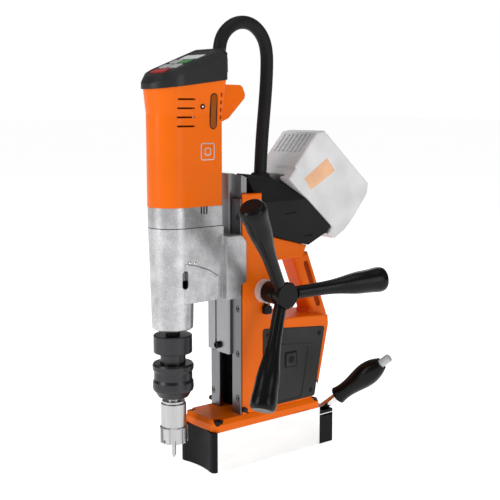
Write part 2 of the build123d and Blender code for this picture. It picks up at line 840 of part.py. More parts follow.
def crank_arm(angle):
    """Spoke that leans outwards from the hub and swells into a club-shaped grip."""
    lean = radians(arm_tilt)
    turn = radians(angle)
    along = Vector(sin(lean), cos(lean) * cos(turn), cos(lean) * sin(turn))
    side = Plane(origin=hub_point, z_dir=along).x_dir
    start = hub_radius - 6.0
    end = arm_length + 10.0
    with BuildPart() as arm:
        with BuildSketch(Plane(origin=hub_point, x_dir=along, z_dir=side)):
            with BuildLine():
                Polyline((end, 14.0), (end, 0), (start, 0), (start, 9.0), (start + 34, 9.2))
                Spline(
                    (start + 34, 9.2),
                    (arm_length * 0.56, 11.4),
                    (arm_length * 0.78, 16.2),
                    (arm_length * 0.93, 17.6),
                    (end, 14.0),
                    tangents=[(1, 0.02), (0.45, -1)],
                )
            make_face()
        revolve(axis=Axis(hub_point, along))
        with BuildSketch(Plane.YZ.offset(hub_back)):
            with Locations((crank_y, crank_z)):
                Circle(hub_radius + running_gap / 5)
        extrude(amount=hub_front - 4 - hub_back, mode=Mode.SUBTRACT)
        with BuildSketch(Plane.YZ.offset(hub_front - 4)):
            with Locations((crank_y, crank_z)):
                Circle(hub_face_radius + running_gap)
        extrude(amount=10, mode=Mode.SUBTRACT)
    return arm.part


with BuildPart() as crank_arms:
    for angle in (arm_angle, arm_angle + 120, arm_angle - 120):
        add(crank_arm(angle))
crank_arms.part.label = "crank_arms"
export_step(crank_arms.part, "parts/crank_arms.step")

# ---------------------------------------------------------------- gearbox
nose_radius_bottom = 28.5
nose_radius_top = 31.9
bearing_radius = 14.0
wheel_radius = gear_module * wheel_teeth / 2
gear_room = wheel_radius + 2.6
floor_height = case_bottom + 8.0

with BuildPart() as gear_space:
    extrude(barrel_outline(floor_height, gear_room, case_rear - case_wall, 10.0), amount=200)

with BuildPart() as gearbox_case:
    with BuildSketch(Plane.XZ.offset(-drill_y)):
        Polygon(
            (0, nose_bottom),
            (nose_radius_bottom - 2, nose_bottom),
            (nose_radius_bottom, nose_bottom + 2),
            (nose_radius_top, case_joint),
            (0, case_joint),
            align=None,
        )
    revolve(axis=Axis((0, drill_y, 0), (0, 0, 1)))
    # body behind the nose, drafted like it
    with BuildSketch(Plane.XY.offset(case_bottom)):
        with Locations((0, drill_y)):
            Rectangle(2 * 30.2, case_rear - drill_y, align=(Align.CENTER, Align.MIN))
    with BuildSketch(Plane.XY.offset(case_joint)):
        with Locations((0, drill_y)):
            Rectangle(2 * nose_radius_top, case_rear - drill_y, align=(Align.CENTER, Align.MIN))
    loft()
    # clamp that grips the carriage and reaches round both rails
    with BuildSketch(Plane.YZ):
        Polygon(
            (case_rear - 1, case_bottom),
            (-56.0, case_bottom),
            (-54.5, 264.5),
            (clamp_rear, 268.0),
            (clamp_rear, 325.0),
            (-55.0, 335.0),
            (case_rear - 1, 335.0),
            align=None,
        )
    extrude(amount=clamp_half_width, both=True)
    clamp_edges = gearbox_case.edges().filter_by(Axis.Y).filter_by_position(Axis.Z, 334, 336)
    chamfer(clamp_edges, 1.6)
    with BuildSketch(Plane.XY.offset(case_bottom - 1)):
        with Locations((0, rail_front - 0.5)):
            Rectangle(2 * (stand_half_width + 0.4), 60, align=(Align.CENTER, Align.MIN))
        with Locations((0, beam_front)):
            Rectangle(2 * (rail_inner - 0.4), 60, align=(Align.CENTER, Align.MIN))
    extrude(amount=100, mode=Mode.SUBTRACT)
    add(gear_space.part, mode=Mode.SUBTRACT)
    with BuildSketch(Plane.XY.offset(nose_bottom)):
        with Locations((0, drill_y)):
            Circle(bearing_radius)
    extrude(amount=floor_height - nose_bottom, mode=Mode.SUBTRACT)
    # oval window in each side of the nose, which shows the gear selector
    with BuildSketch(Plane.YZ):
        with Locations(Location((drill_y + 1.0, 279.0), 90)):
            SlotOverall(25, 9.0)
    extrude(amount=40, both=True, mode=Mode.SUBTRACT)
gearbox_case.part.label = "gearbox_case"
export_step(gearbox_case.part, "parts/gearbox_case.step")

rotor_bearing_radius = 9.5
rotor_shaft_radius = 4.0
lid_deck = 8.0
with BuildPart() as gearbox_lid:
    extrude(barrel_outline(case_joint, nose_radius_top, case_rear, 3.0), amount=lid_top - case_joint)
    extrude(
        barrel_outline(case_joint, gear_room, case_rear - case_wall, 10.0),
        amount=lid_top - case_joint - lid_deck,
        mode=Mode.SUBTRACT,
    )
    with Locations((0, drill_y, lid_top)):
        Hole(rotor_bearing_radius)
    # cooling air outlets on both sides, just under the motor
    with BuildSketch(Plane.YZ):
        with Locations(*[(y, lid_top - 5.0) for y in (-116.5, -112.0, -107.5)]):
            Rectangle(2.6, 10.1)
    extrude(amount=40, both=True, mode=Mode.SUBTRACT)
gearbox_lid.part.label = "gearbox_lid"
export_step(gearbox_lid.part, "parts/gearbox_lid.step")


# ---------------------------------------------------------------- gear train and spindle
wheel_bottom = 277.0
wheel_top = 293.0
first_wheel_bottom = 320.0
first_wheel_top = 332.0


def ring(inner, outer, bottom, top, y):
    """Plain ring about a vertical axis."""
    with BuildPart() as sleeve:
        with BuildSketch(Plane.XY.offset(bottom)):
            with Locations((0, y)):
                Circle(outer)
                Circle(inner, mode=Mode.SUBTRACT)
        extrude(amount=top - bottom)
    return sleeve.part


chuck_top = 200.0
with BuildPart() as drive_spindle:
    with BuildSketch(Plane.XY.offset(chuck_top)):
        with Locations((0, drill_y)):
            Circle(spindle_radius)
    extrude(amount=312.0 - chuck_top)
drive_spindle.part.label = "drive_spindle"
export_step(drive_spindle.part, "parts/drive_spindle.step")

with BuildPart() as spindle_wheel:
    with BuildSketch(Plane.XY.offset(wheel_bottom)):
        with Locations((0, drill_y)):
            Polygon(
                *gear_outline(wheel_teeth, gear_module, gear_backlash, 90 + 180 / wheel_teeth), align=None
            )
            Circle(spindle_radius, mode=Mode.SUBTRACT)
    extrude(amount=wheel_top - wheel_bottom)
spindle_wheel.part.label = "spindle_wheel"
export_step(spindle_wheel.part, "parts/spindle_wheel.step")

# The countershaft's pinion turns the spindle wheel, and the motor turns its large wheel.
with BuildPart() as countershaft:
    with BuildSketch(Plane.XY.offset(floor_height + 1)):
        with Locations((0, counter_y)):
            Circle(counter_radius)
    extrude(amount=case_joint - 2 - floor_height)
    with BuildSketch(Plane.XY.offset(wheel_bottom - 1)):
        with Locations((0, counter_y)):
            Polygon(*gear_outline(pinion_teeth, gear_module, gear_backlash, -90.0), align=None)
    extrude(amount=wheel_top - wheel_bottom + 2)
    with BuildSketch(Plane.XY.offset(first_wheel_bottom)):
        with Locations((0, counter_y)):
            Polygon(
                *gear_outline(wheel_teeth, gear_module, gear_backlash, -90 + 180 / wheel_teeth), align=None
            )
    extrude(amount=first_wheel_top - first_wheel_bottom)
countershaft.part.label = "countershaft"
export_step(countershaft.part, "parts/countershaft.step")

# ---------------------------------------------------------------- motor
stator_bottom = 402.0
stator_top = 458.0
rotor_radius_outer = 18.0
stator_radius = 29.0
motor_shaft_top = 500.0
with BuildPart() as motor_rotor:
    with BuildSketch(Plane.XY.offset(first_wheel_bottom - 2)):
        with Locations((0, drill_y)):
            Polygon(*gear_outline(pinion_teeth, gear_module, gear_backlash, 90.0), align=None)
    extrude(amount=first_wheel_top - first_wheel_bottom + 4)
    with BuildSketch(Plane.XY.offset(first_wheel_top)):
        with Locations((0, drill_y)):
            Circle(rotor_shaft_radius)
    extrude(amount=motor_shaft_top - first_wheel_top)
    with BuildSketch(Plane.XY.offset(stator_bottom - 2)):
        with Locations((0, drill_y)):
            Circle(rotor_radius_outer)
    extrude(amount=stator_top - stator_bottom + 4)
motor_rotor.part.label = "motor_rotor"
export_step(motor_rotor.part, "parts/motor_rotor.step")

fan_bottom = stator_top + 8.0
with BuildPart() as motor_fan:
    with BuildSketch(Plane.XY.offset(fan_bottom)):
        with Locations((0, drill_y)):
            Circle(27.0)
            Circle(rotor_shaft_radius, mode=Mode.SUBTRACT)
    extrude(amount=2.0)
    with BuildSketch(Plane.XY.offset(fan_bottom + 2.0)):
        with Locations((0, drill_y)):
            Circle(9.0)
            Circle(rotor_shaft_radius, mode=Mode.SUBTRACT)
            with PolarLocations(17.5, 9):
                Rectangle(18.0, 1.6)
    extrude(amount=10.0)
motor_fan.part.label = "motor_fan"
export_step(motor_fan.part, "parts/motor_fan.step")

with BuildPart() as motor_stator:
    with BuildSketch(Plane.XY.offset(stator_bottom)):
        with Locations((0, drill_y)):
            Circle(stator_radius)
            Circle(rotor_radius_outer + 0.6, mode=Mode.SUBTRACT)
            with PolarLocations(23.0, 12, start_angle=15):
                SlotOverall(6.5, 2.4, mode=Mode.SUBTRACT)
    extrude(amount=stator_top - stator_bottom)
motor_stator.part.label = "motor_stator"
export_step(motor_stator.part, "parts/motor_stator.step")

# Two bearings each for the spindle and the rotor, and the countershaft's lower bush.
with BuildPart() as drive_bearings:
    add(ring(spindle_radius + running_gap, bearing_radius, 212.0, 224.0, drill_y))
    add(ring(spindle_radius + running_gap, bearing_radius, 240.0, floor_height - 2, drill_y))
    add(ring(counter_radius + running_gap, counter_radius + 4, floor_height, floor_height + 12, counter_y))
    add(ring(rotor_shaft_radius + running_gap, rotor_bearing_radius, lid_top - 7, lid_top - 1, drill_y))
    add(ring(rotor_shaft_radius + running_gap, rotor_bearing_radius, 488.0, 494.0, drill_y))
drive_bearings.part.label = "drive_bearings"
export_step(drive_bearings.part, "parts/drive_bearings.step")

parting_plane = Plane(
    origin=(0, -138.0, parting_height),
    x_dir=(1, 0, 0),
    z_dir=(0, -sin(radians(parting_slope)), cos(radians(parting_slope))),
)
panel_plane = Plane(
    origin=(0, panel_y, panel_height),
    x_dir=(1, 0, 0),
    z_dir=(0, -sin(radians(panel_slope)), cos(radians(panel_slope))),
)

side_screw_y = -114.7
side_screw_z = 510.4
side_screw_radius = 1.8
side_head_radius = 3.4
flare_share = (side_screw_z - flare_start) / 60
screw_face = case_half_width + (flare_half_width - case_half_width) * flare_share - 0.8
vent_heights = [484.6, 496.4, 508.2, 520.0]
fin_outline = [
    (case_rear + 2, 541.0),
    (-26.0, 540.0),
    (-19.0, 524.0),
    (-50.0, 494.0),
    (case_rear + 2, 484.0),
]
with BuildPart() as motor_housing:
    extrude(barrel_outline(lid_top, case_half_width, case_rear), amount=flare_start - lid_top)
    loft(
        [
            barrel_outline(flare_start, case_half_width, case_rear),
            barrel_outline(flare_start + 60, flare_half_width, cap_rear, 9.0),
        ]
    )
    split(bisect_by=parting_plane, keep=Keep.BOTTOM)
    extrude(
        barrel_outline(lid_top, case_half_width - motor_wall, case_rear - motor_wall, 4.0),
        amount=200,
        mode=Mode.SUBTRACT,
    )
    with BuildSketch(Plane.YZ) as fin_side:
        Polygon(*fin_outline, align=None)
        fillet(fin_side.vertices().filter_by_position(Axis.X, -60, 0), 8.0)
    extrude(amount=6.0, both=True)
    # air inlets, two by four, and the small ones at the rear edge
    with BuildSketch(Plane.YZ):
        with Locations(*[(-140.5, z) for z in vent_heights]):
            Rectangle(27.0, 2.2)
        with Locations(*[(-84.2, z) for z in (496.0, 506.0, 516.0, 526.0)]):
            Rectangle(2.6, 5.0)
        with Locations((side_screw_y, side_screw_z)):
            Circle(side_screw_radius)
    extrude(amount=45, both=True, mode=Mode.SUBTRACT)
    for side in (-1, 1):
        with BuildSketch(Plane.YZ.offset(side * screw_face)):
            with Locations((side_screw_y, side_screw_z)):
                Circle(side_head_radius + 0.4)
        extrude(amount=side * 5, mode=Mode.SUBTRACT)
motor_housing.part.label = "motor_housing"
export_step(motor_housing.part, "parts/motor_housing.step")

# Screws through the housing's sides, and the stop screw at the carriage's foot.
side_screw = cap_screw(side_head_radius, 1.8, side_screw_radius, motor_wall + 2)
stop_screw = cap_screw(5.0, 5.5, stop_screw_radius, stop_screw_depth)
with BuildPart() as drill_screws:
    with Locations(
        [
            Plane(origin=(side * screw_face, side_screw_y, side_screw_z), z_dir=(side, 0, 0))
            for side in (-1, 1)
        ]
    ):
        add(side_screw)
    with Locations(
        Plane(origin=(stop_screw_spot[0], beam_front, stop_screw_spot[1]), z_dir=(0, -1, 0))
    ):
        add(stop_screw)
drill_screws.part.label = "drill_screws"
export_step(drill_screws.part, "parts/drill_screws.step")

# ---------------------------------------------------------------- cap and control panel
cap_wall = 3.0
panel_depth = 2.0
panel_half_width = 31.0


def panel_block(half_width, low, high):
    """Slab with the panel's outline, between two heights above the panel's plane."""
    with BuildPart() as block:
        extrude(barrel_outline(500, half_width, cap_rear - 9.5, 6.0), amount=120)
        split(bisect_by=panel_plane.offset(low), keep=Keep.TOP)
        split(bisect_by=panel_plane.offset(high), keep=Keep.BOTTOM)
    return block.part


with BuildPart() as cap_room:
    extrude(barrel_outline(500, flare_half_width - cap_wall - 2.5, cap_rear - cap_wall - 2.5), amount=120)
    split(bisect_by=panel_plane.offset(-panel_depth - 3.0), keep=Keep.BOTTOM)

with BuildPart() as panel_opening:
    extrude(barrel_outline(500, panel_half_width - 3, cap_rear - 12.5, 4.0), amount=120)
    split(bisect_by=panel_plane.offset(-panel_depth - 8), keep=Keep.TOP)

with BuildPart() as motor_cap:
    extrude(barrel_outline(510, flare_half_width, cap_rear, 9.0), amount=100)
    split(bisect_by=panel_plane, keep=Keep.BOTTOM)
    cap_face = motor_cap.faces().sort_by(Axis.Z)[-1]
    chamfer(cap_face.outer_wire().edges(), 5.5, 8.0, reference=cap_face)
    split(bisect_by=parting_plane, keep=Keep.TOP)
    add(cap_room.part, mode=Mode.SUBTRACT)
    add(panel_block(panel_half_width, -panel_depth, 5.0), mode=Mode.SUBTRACT)
    add(panel_opening.part, mode=Mode.SUBTRACT)
motor_cap.part.label = "motor_cap"
export_step(motor_cap.part, "parts/motor_cap.step")

button_gap = 0.35
button_rise = 1.2
button_spots = {
    "stop_button": (0.0, -11.5, 34.0, 13.0),
    "speed_up_button": (-11.5, 6.5, 20.0, 13.0),
    "speed_down_button": (11.5, 6.5, 20.0, 13.0),
    "gear_button": (-11.5, 24.5, 20.0, 13.0),
    "start_button": (11.5, 24.5, 20.0, 13.0),
}
display_spot = (0.0, 44.0, 44.0, 16.0)
with BuildPart() as panel_plate:
    add(panel_block(panel_half_width - 0.3, -panel_depth, -0.4))
    with BuildSketch(panel_plane):
        for x, y, wide, deep in [*button_spots.values(), display_spot]:
            with Locations((x, y)):
                RectangleRounded(wide, deep, 2.5)
    extrude(amount=-panel_depth, mode=Mode.SUBTRACT)
panel_plate.part.label = "panel_plate"
export_step(panel_plate.part, "parts/panel_plate.step")

for button_name, (x, y, wide, deep) in button_spots.items():
    with BuildPart() as panel_button:
        with BuildSketch(panel_plane.offset(-panel_depth)):
            with Locations((x, y)):
                RectangleRounded(wide - 2 * button_gap, deep - 2 * button_gap, 2.2)
        extrude(amount=panel_depth + button_rise)
        chamfer(panel_button.faces().sort_by(Axis(panel_plane.origin, panel_plane.z_dir))[-1].edges(), 0.6)
    panel_button.part.label = button_name
    export_step(panel_button.part, f"parts/{button_name}.step")

with BuildPart() as display_window:
    with BuildSketch(panel_plane.offset(-panel_depth)):
        with Locations(display_spot[:2]):
            RectangleRounded(display_spot[2] - 0.2, display_spot[3] - 0.2, 2.4)
    extrude(amount=panel_depth - 0.2)
display_window.part.label = "display_window"
export_step(display_window.part, "parts/display_window.step")

with BuildPart() as panel_board:
    with BuildSketch(panel_plane.offset(-panel_depth - 5.5)):
        with Locations((0, 19.0)):
            Rectangle(36.0, 66.0)
    extrude(amount=board_thickness)
panel_board.part.label = "panel_board"
export_step(panel_board.part, "parts/panel_board.step")

# ---------------------------------------------------------------- quick-change holder and cutter
holder_radius = 17.5
cutter_shank_radius = 9.5
pin_radius = 3.0
pin_tip = 22.7
cutter_bottom = 47.0
cutter_shoulder = 71.0
cutter_top = 102.5
holder_bottom = 112.0
ring_bottom = 175.0
sleeve_bottom = 112.4
sleeve_top = 160.0
sleeve_travel = 6.0
drill_line = Axis((0, drill_y, 0), (0, 0, 1))
drill_side = Plane(origin=(0, drill_y, 0), x_dir=(1, 0, 0), z_dir=(0, -1, 0))

with BuildPart() as tool_holder:
    with BuildSketch(drill_side):
        Polygon(
            (cutter_shank_radius + running_gap, holder_bottom),
            (holder_radius - 1, holder_bottom),
            (holder_radius, holder_bottom + 1),
            (holder_radius, ring_bottom),
            (26.0, ring_bottom),
            (26.8, ring_bottom + 1),
            (26.8, chuck_top - 1.2),
            (25.6, chuck_top),
            (0, chuck_top),
            (0, 172.0),
            (pin_radius + running_gap, 172.0),
            (pin_radius + running_gap, 152.0),
            (cutter_shank_radius + running_gap, 152.0),
            align=None,
        )
    revolve(axis=drill_line)
tool_holder.part.label = "tool_holder"
export_step(tool_holder.part, "parts/tool_holder.step")

with BuildPart() as chuck_sleeve:
    with BuildSketch(drill_side):
        with BuildLine():
            Polyline(
                (holder_radius + running_gap, sleeve_top),
                (holder_radius + running_gap, sleeve_bottom),
                (20.5, sleeve_bottom),
                (21.5, sleeve_bottom + 1),
                (25.5, 120.4),
                (27.6, 122.0),
                (28.6, 126.0),
                (28.2, 134.0),
                (26.6, 138.0),
                (26.6, 148.0),
                (28.4, 152.0),
                (28.7, 157.5),
                (27.2, sleeve_top),
                (holder_radius + running_gap, sleeve_top),
            )
        make_face()
    revolve(axis=drill_line)
chuck_sleeve.part.label = "chuck_sleeve"
export_step(chuck_sleeve.part, "parts/chuck_sleeve.step")

cutter_radius = 17.6
cutter_teeth_radius = 19.6
tooth_count = 8
with BuildPart() as core_cutter:
    with BuildSketch(drill_side):
        Polygon(
            (pin_radius + running_gap, 150.0),
            (cutter_shank_radius, 150.0),
            (cutter_shank_radius, 106.5),
            (cutter_radius - 1.6, 106.5),
            (cutter_radius - 1.6, 104.0),
            (cutter_radius, cutter_top),
            (cutter_radius, cutter_shoulder),
            (cutter_teeth_radius, cutter_shoulder - 2),
            (cutter_teeth_radius, cutter_bottom),
            (15.0, cutter_bottom),
            (15.0, 96.0),
            (pin_radius + running_gap, 99.0),
            align=None,
        )
    revolve(axis=drill_line)
    with BuildSketch(Plane.XY.offset(cutter_bottom)):
        with Locations((0, drill_y)):
            with PolarLocations(cutter_teeth_radius + 0.4, tooth_count):
                Rectangle(5.2, 5.0)
    extrude(amount=cutter_shoulder - 1 - cutter_bottom, mode=Mode.SUBTRACT)
    with BuildSketch(Plane.XY.offset(cutter_bottom)):
        with Locations((0, drill_y)):
            with PolarLocations(17.2, tooth_count, start_angle=14):
                Rectangle(7.0, 3.6)
    extrude(amount=6.0, mode=Mode.SUBTRACT)
core_cutter.part.label = "core_cutter"
export_step(core_cutter.part, "parts/core_cutter.step")

with BuildPart() as pilot_pin:
    with BuildSketch(drill_side):
        Polygon(
            (0, pin_tip),
            (0.6, pin_tip),
            (pin_radius, pin_tip + 5),
            (pin_radius, 146.0),
            (0, 146.0),
            align=None,
        )
    revolve(axis=drill_line)
pilot_pin.part.label = "pilot_pin"
export_step(pilot_pin.part, "parts/pilot_pin.step")

# ---------------------------------------------------------------- battery dock
seat_slope = atan2(seat_start_z - seat_end_z, seat_end_y - seat_start_y)
seat_dir = Vector(0, cos(seat_slope), -sin(seat_slope))
seat_side = Plane(origin=(0, seat_start_y, seat_start_z), x_dir=seat_dir, z_dir=(1, 0, 0))
seat_cross = Plane(origin=(0, seat_start_y, seat_start_z), x_dir=(-1, 0, 0), z_dir=seat_dir)
seat_length = hypot(seat_end_y - seat_start_y, seat_end_z - seat_start_z)
hood_front = rack_tip + 0.6
dock_outline = [
    (dock_front, 329.0),
    (dock_front, column_top + 1),
    (hood_front, column_top + 1),
    (hood_front, 413.0),
    (hood_front + 2.5, 415.5),
    (12.0, 411.0),
    (40.0, 401.0),
    (seat_start_y, seat_start_z),
    (seat_end_y, seat_end_z),
    (108.0, 326.0),
    (71.0, 309.6),
    (20.0, 323.1),
    (column_back, 329.6),
]
facet_rise = 411.0 - dock_facet_height


def dock_block(shrink):
    """Outer or inner shape of the dock: the side outline with its two roof corners cut off."""
    with BuildPart() as block:
        with BuildSketch(Plane.YZ):
            Polygon(*dock_outline, align=None)
            if shrink:
                offset(amount=-shrink, mode=Mode.REPLACE)
        extrude(amount=dock_half_width - shrink, both=True)
        with BuildSketch(Plane.XZ):
            for side in (-1, 1):
                Polygon(
                    (side * (dock_half_width - shrink), dock_facet_height),
                    (side * (dock_ridge_half_width - shrink), dock_facet_height + facet_rise),
                    (side * (dock_ridge_half_width - shrink), 440.0),
                    (side * 60.0, 440.0),
                    (side * 60.0, dock_facet_height),
                    align=None,
                )
        extrude(amount=150, both=True, mode=Mode.SUBTRACT)
    return block.part


with BuildPart() as column_room:
    with BuildSketch(Plane.XY.offset(300)):
        with Locations((0, column_front)):
            Rectangle(
                2 * (stand_half_width + 0.3),
                column_back + 0.3 - column_front,
                align=(Align.CENTER, Align.MIN),
            )
    extrude(amount=dock_facet_height - 0.7 - 300)

with BuildPart() as dock_shell:
    add(dock_block(0))
    add(dock_block(dock_wall), mode=Mode.SUBTRACT)
    add(column_room.part, mode=Mode.SUBTRACT)
    # rail that the battery slides on to
    with BuildSketch(seat_cross.offset(14.0)):
        with Locations((0, 2.0)):
            Rectangle(36, 6)
        with Locations((0, 6.5)):
            Rectangle(46, 3)
    extrude(amount=seat_length - 30)
    with Locations((hose_x, hose_y, 412)):
        Hole(hose_radius + flange_wall, depth=30)
    # screw recesses and catches on both sides
    for side in (-1, 1):
        with BuildSketch(Plane.YZ.offset(side * dock_half_width)):
            with Locations(Location((36.0, 359.0), 4)):
                SlotOverall(20, 2.4)
            with Locations(Location((71.0, 323.8), 4)):
                SlotOverall(16, 2.4)
        extrude(amount=-side * 1.5, mode=Mode.SUBTRACT)
with BuildPart() as dock_shell_right:
    add(dock_shell.part)
    split(bisect_by=Plane.YZ, keep=Keep.TOP)
dock_shell_right.part.label = "dock_shell_right"
export_step(dock_shell_right.part, "parts/dock_shell_right.step")

with BuildPart() as dock_shell_left:
    add(dock_shell.part)
    split(bisect_by=Plane.YZ, keep=Keep.BOTTOM)
dock_shell_left.part.label = "dock_shell_left"
export_step(dock_shell_left.part, "parts/dock_shell_left.step")

# ---------------------------------------------------------------- battery pack
pack_outline = [
    (pack_start + 3, seat_gap),
    (seat_length + 3, seat_gap),
    (seat_length + 5, -11.0),
    (pack_end - 8, -8.0),
    (pack_end, 14.0),
    (pack_end + 2, 40.0),
    (pack_end, 84.0),
    (pack_end - 9, pack_height),
    (pack_start + 10, pack_height),
    (pack_start, pack_height - 12),
    (pack_start, 22.0),
    (pack_start + 3, 20.0),
]
with BuildPart() as battery_case:
    with BuildSketch(seat_side):
        Polygon(*pack_outline, align=None)
    extrude(amount=pack_half_width, both=True)
    side_faces = battery_case.faces().filter_by(Axis.X)
    fillet([edge for face in side_faces for edge in face.edges()], 3.0)
    # slot for the dock's rail, open at the upper end
    with BuildSketch(seat_cross.offset(pack_start - 1)):
        with Locations((0, 2.2)):
            Rectangle(37, 7.4)
        with Locations((0, 6.5)):
            Rectangle(47, 4)
    extrude(amount=seat_length - 15 - pack_start + 1, mode=Mode.SUBTRACT)
    # room for the cells
    with BuildSketch(seat_side):
        with Locations(((pack_start + pack_end) / 2, 52.0)):
            Rectangle(pack_end - pack_start - 12, 76.0)
    extrude(amount=pack_half_width - 3, both=True, mode=Mode.SUBTRACT)
    # cooling slots across the upper end
    with BuildSketch(seat_cross.offset(pack_start)):
        with Locations(*[(x, 64.0) for x in (-27, -18, -9, 0, 9, 18, 27)]):
            Rectangle(3.6, 34.0)
    extrude(amount=2.5, mode=Mode.SUBTRACT)
battery_case.part.label = "battery_case"
export_step(battery_case.part, "parts/battery_case.step")

cell_radius = 10.5
cell_pitch = 21.8
with BuildPart() as battery_cells:
    with BuildSketch(seat_side.offset(-35.0)):
        with Locations(
            *[
                ((pack_start + pack_end) / 2 + (column - 2) * cell_pitch, 52.0 + (row - 1) * cell_pitch)
                for row in range(3)
                for column in range(5)
            ]
        ):
            Circle(cell_radius)
    extrude(amount=70.0)
battery_cells.part.label = "battery_cells"
export_step(battery_cells.part, "parts/battery_cells.step")

# ---------------------------------------------------------------- cable hose from the motor to the dock
hose_start = cap_rear + hose_radius + 1.15
hose_points = [
    (0, hose_start, 565.0),
    (0, hose_start - 0.4, 588.0),
    (0, -55.0, 610.0),
    (0, -33.0, 626.0),
    (0, -6.0, 627.0),
    (0, 15.0, 612.0),
    (0, 24.5, 589.0),
    (0, 24.0, 552.0),
    (0, 20.0, 508.0),
    (0, 14.5, 458.0),
    (0, 12.0, 411.0),
]
runs = [(Vector(*b) - Vector(*a)) for a, b in zip(hose_points, hose_points[1:])]
hose_radii = []
for before, after in zip(runs, runs[1:]):
    half_turn = radians(before.get_angle(after)) / 2
    hose_radii.append(0.45 * min(before.length, after.length) / tan(half_turn))
print("hose radii", [round(radius, 1) for radius in hose_radii])

with BuildPart() as hose:
    with BuildLine() as hose_path:
        FilletPolyline(*hose_points, radius=hose_radii)
    with BuildSketch(Plane(origin=hose_points[0], z_dir=runs[0])):
        Circle(hose_radius)
    sweep()
hose_length = sum(edge.length for edge in hose_path.edges())
print("hose length", round(hose_length, 1))
print("hose volume share", round(hose.part.volume / (pi * hose_radius**2 * hose_length), 4))
hose.part.label = "hose"
export_step(hose.part, "parts/hose.step")

with BuildPart() as hose_flange:
    with BuildSketch(Plane.XZ.offset(-hose_y)):
        Polygon(
            (hose_radius + flange_gap, 404.0),
            (hose_radius + flange_wall, 404.0),
            (hose_radius + flange_wall, 413.5),
            (hose_radius + flange_wall - 2.5, 416.0),
            (hose_radius + flange_gap, 416.0),
            align=None,
        )
    revolve(axis=Axis((0, hose_y, 0), (0, 0, 1)))
hose_flange.part.label = "hose_flange"
export_step(hose_flange.part, "parts/hose_flange.step")

hose_exit = Plane(origin=hose_points[0], z_dir=runs[0])
with BuildPart() as hose_boot:
    with BuildSketch(hose_exit.offset(-8)):
        Circle(hose_radius + 3.0)
    extrude(amount=19)
    with BuildSketch(Plane.YZ):
        Polygon((cap_rear, 552.0), (-62.0, 552.0), (-62.0, 572.0), (cap_rear, 572.0), align=None)
    extrude(amount=8.0, both=True)
    with BuildSketch(hose_exit):
        Circle(hose_radius)
    extrude(amount=40, mode=Mode.SUBTRACT)
    with BuildSketch(Plane.XY.offset(520)):
        with Locations((0, cap_rear)):
            Rectangle(60, 40, align=(Align.CENTER, Align.MAX))
    extrude(amount=100, mode=Mode.SUBTRACT)
hose_boot.part.label = "hose_boot"
export_step(hose_boot.part, "parts/hose_boot.step")
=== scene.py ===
import math
import bpy
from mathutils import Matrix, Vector


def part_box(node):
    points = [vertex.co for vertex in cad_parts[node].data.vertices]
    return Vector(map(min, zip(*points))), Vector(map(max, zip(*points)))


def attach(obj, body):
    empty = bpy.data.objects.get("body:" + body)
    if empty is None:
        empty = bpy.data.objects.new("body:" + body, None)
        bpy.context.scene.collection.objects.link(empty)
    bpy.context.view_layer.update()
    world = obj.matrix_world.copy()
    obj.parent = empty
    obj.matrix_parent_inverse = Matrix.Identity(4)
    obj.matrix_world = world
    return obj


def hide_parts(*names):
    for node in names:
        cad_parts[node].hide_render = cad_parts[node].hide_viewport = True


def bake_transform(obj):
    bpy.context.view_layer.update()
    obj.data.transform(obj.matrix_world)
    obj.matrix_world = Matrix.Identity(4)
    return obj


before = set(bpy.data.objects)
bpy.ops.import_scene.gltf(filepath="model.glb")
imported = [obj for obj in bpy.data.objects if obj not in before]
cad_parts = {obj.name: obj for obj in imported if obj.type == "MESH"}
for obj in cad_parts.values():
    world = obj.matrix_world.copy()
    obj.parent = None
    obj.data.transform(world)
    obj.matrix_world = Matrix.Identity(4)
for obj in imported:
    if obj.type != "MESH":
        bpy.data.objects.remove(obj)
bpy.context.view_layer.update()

print("frame loaded:", len(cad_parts), "nodes")


# small helpers
def mm(*values):
    return tuple(value / 1000 for value in values) if len(values) > 1 else values[0] / 1000


class Wire:
    # a socket that can be used in a Python expression
    def __init__(self, build, socket):
        self.build = build
        self.socket = socket

    def mathNode(self, operation, first, second):
        return self.build.mathNode(operation, first, second)

    def __add__(self, other):
        return self.mathNode("ADD", self, other)

    def __radd__(self, other):
        return self.mathNode("ADD", other, self)

    def __sub__(self, other):
        return self.mathNode("SUBTRACT", self, other)

    def __rsub__(self, other):
        return self.mathNode("SUBTRACT", other, self)

    def __mul__(self, other):
        return self.mathNode("MULTIPLY", self, other)

    def __rmul__(self, other):
        return self.mathNode("MULTIPLY", other, self)

    def __gt__(self, other):
        return self.mathNode("GREATER_THAN", self, other)

    def __lt__(self, other):
        return self.mathNode("LESS_THAN", self, other)


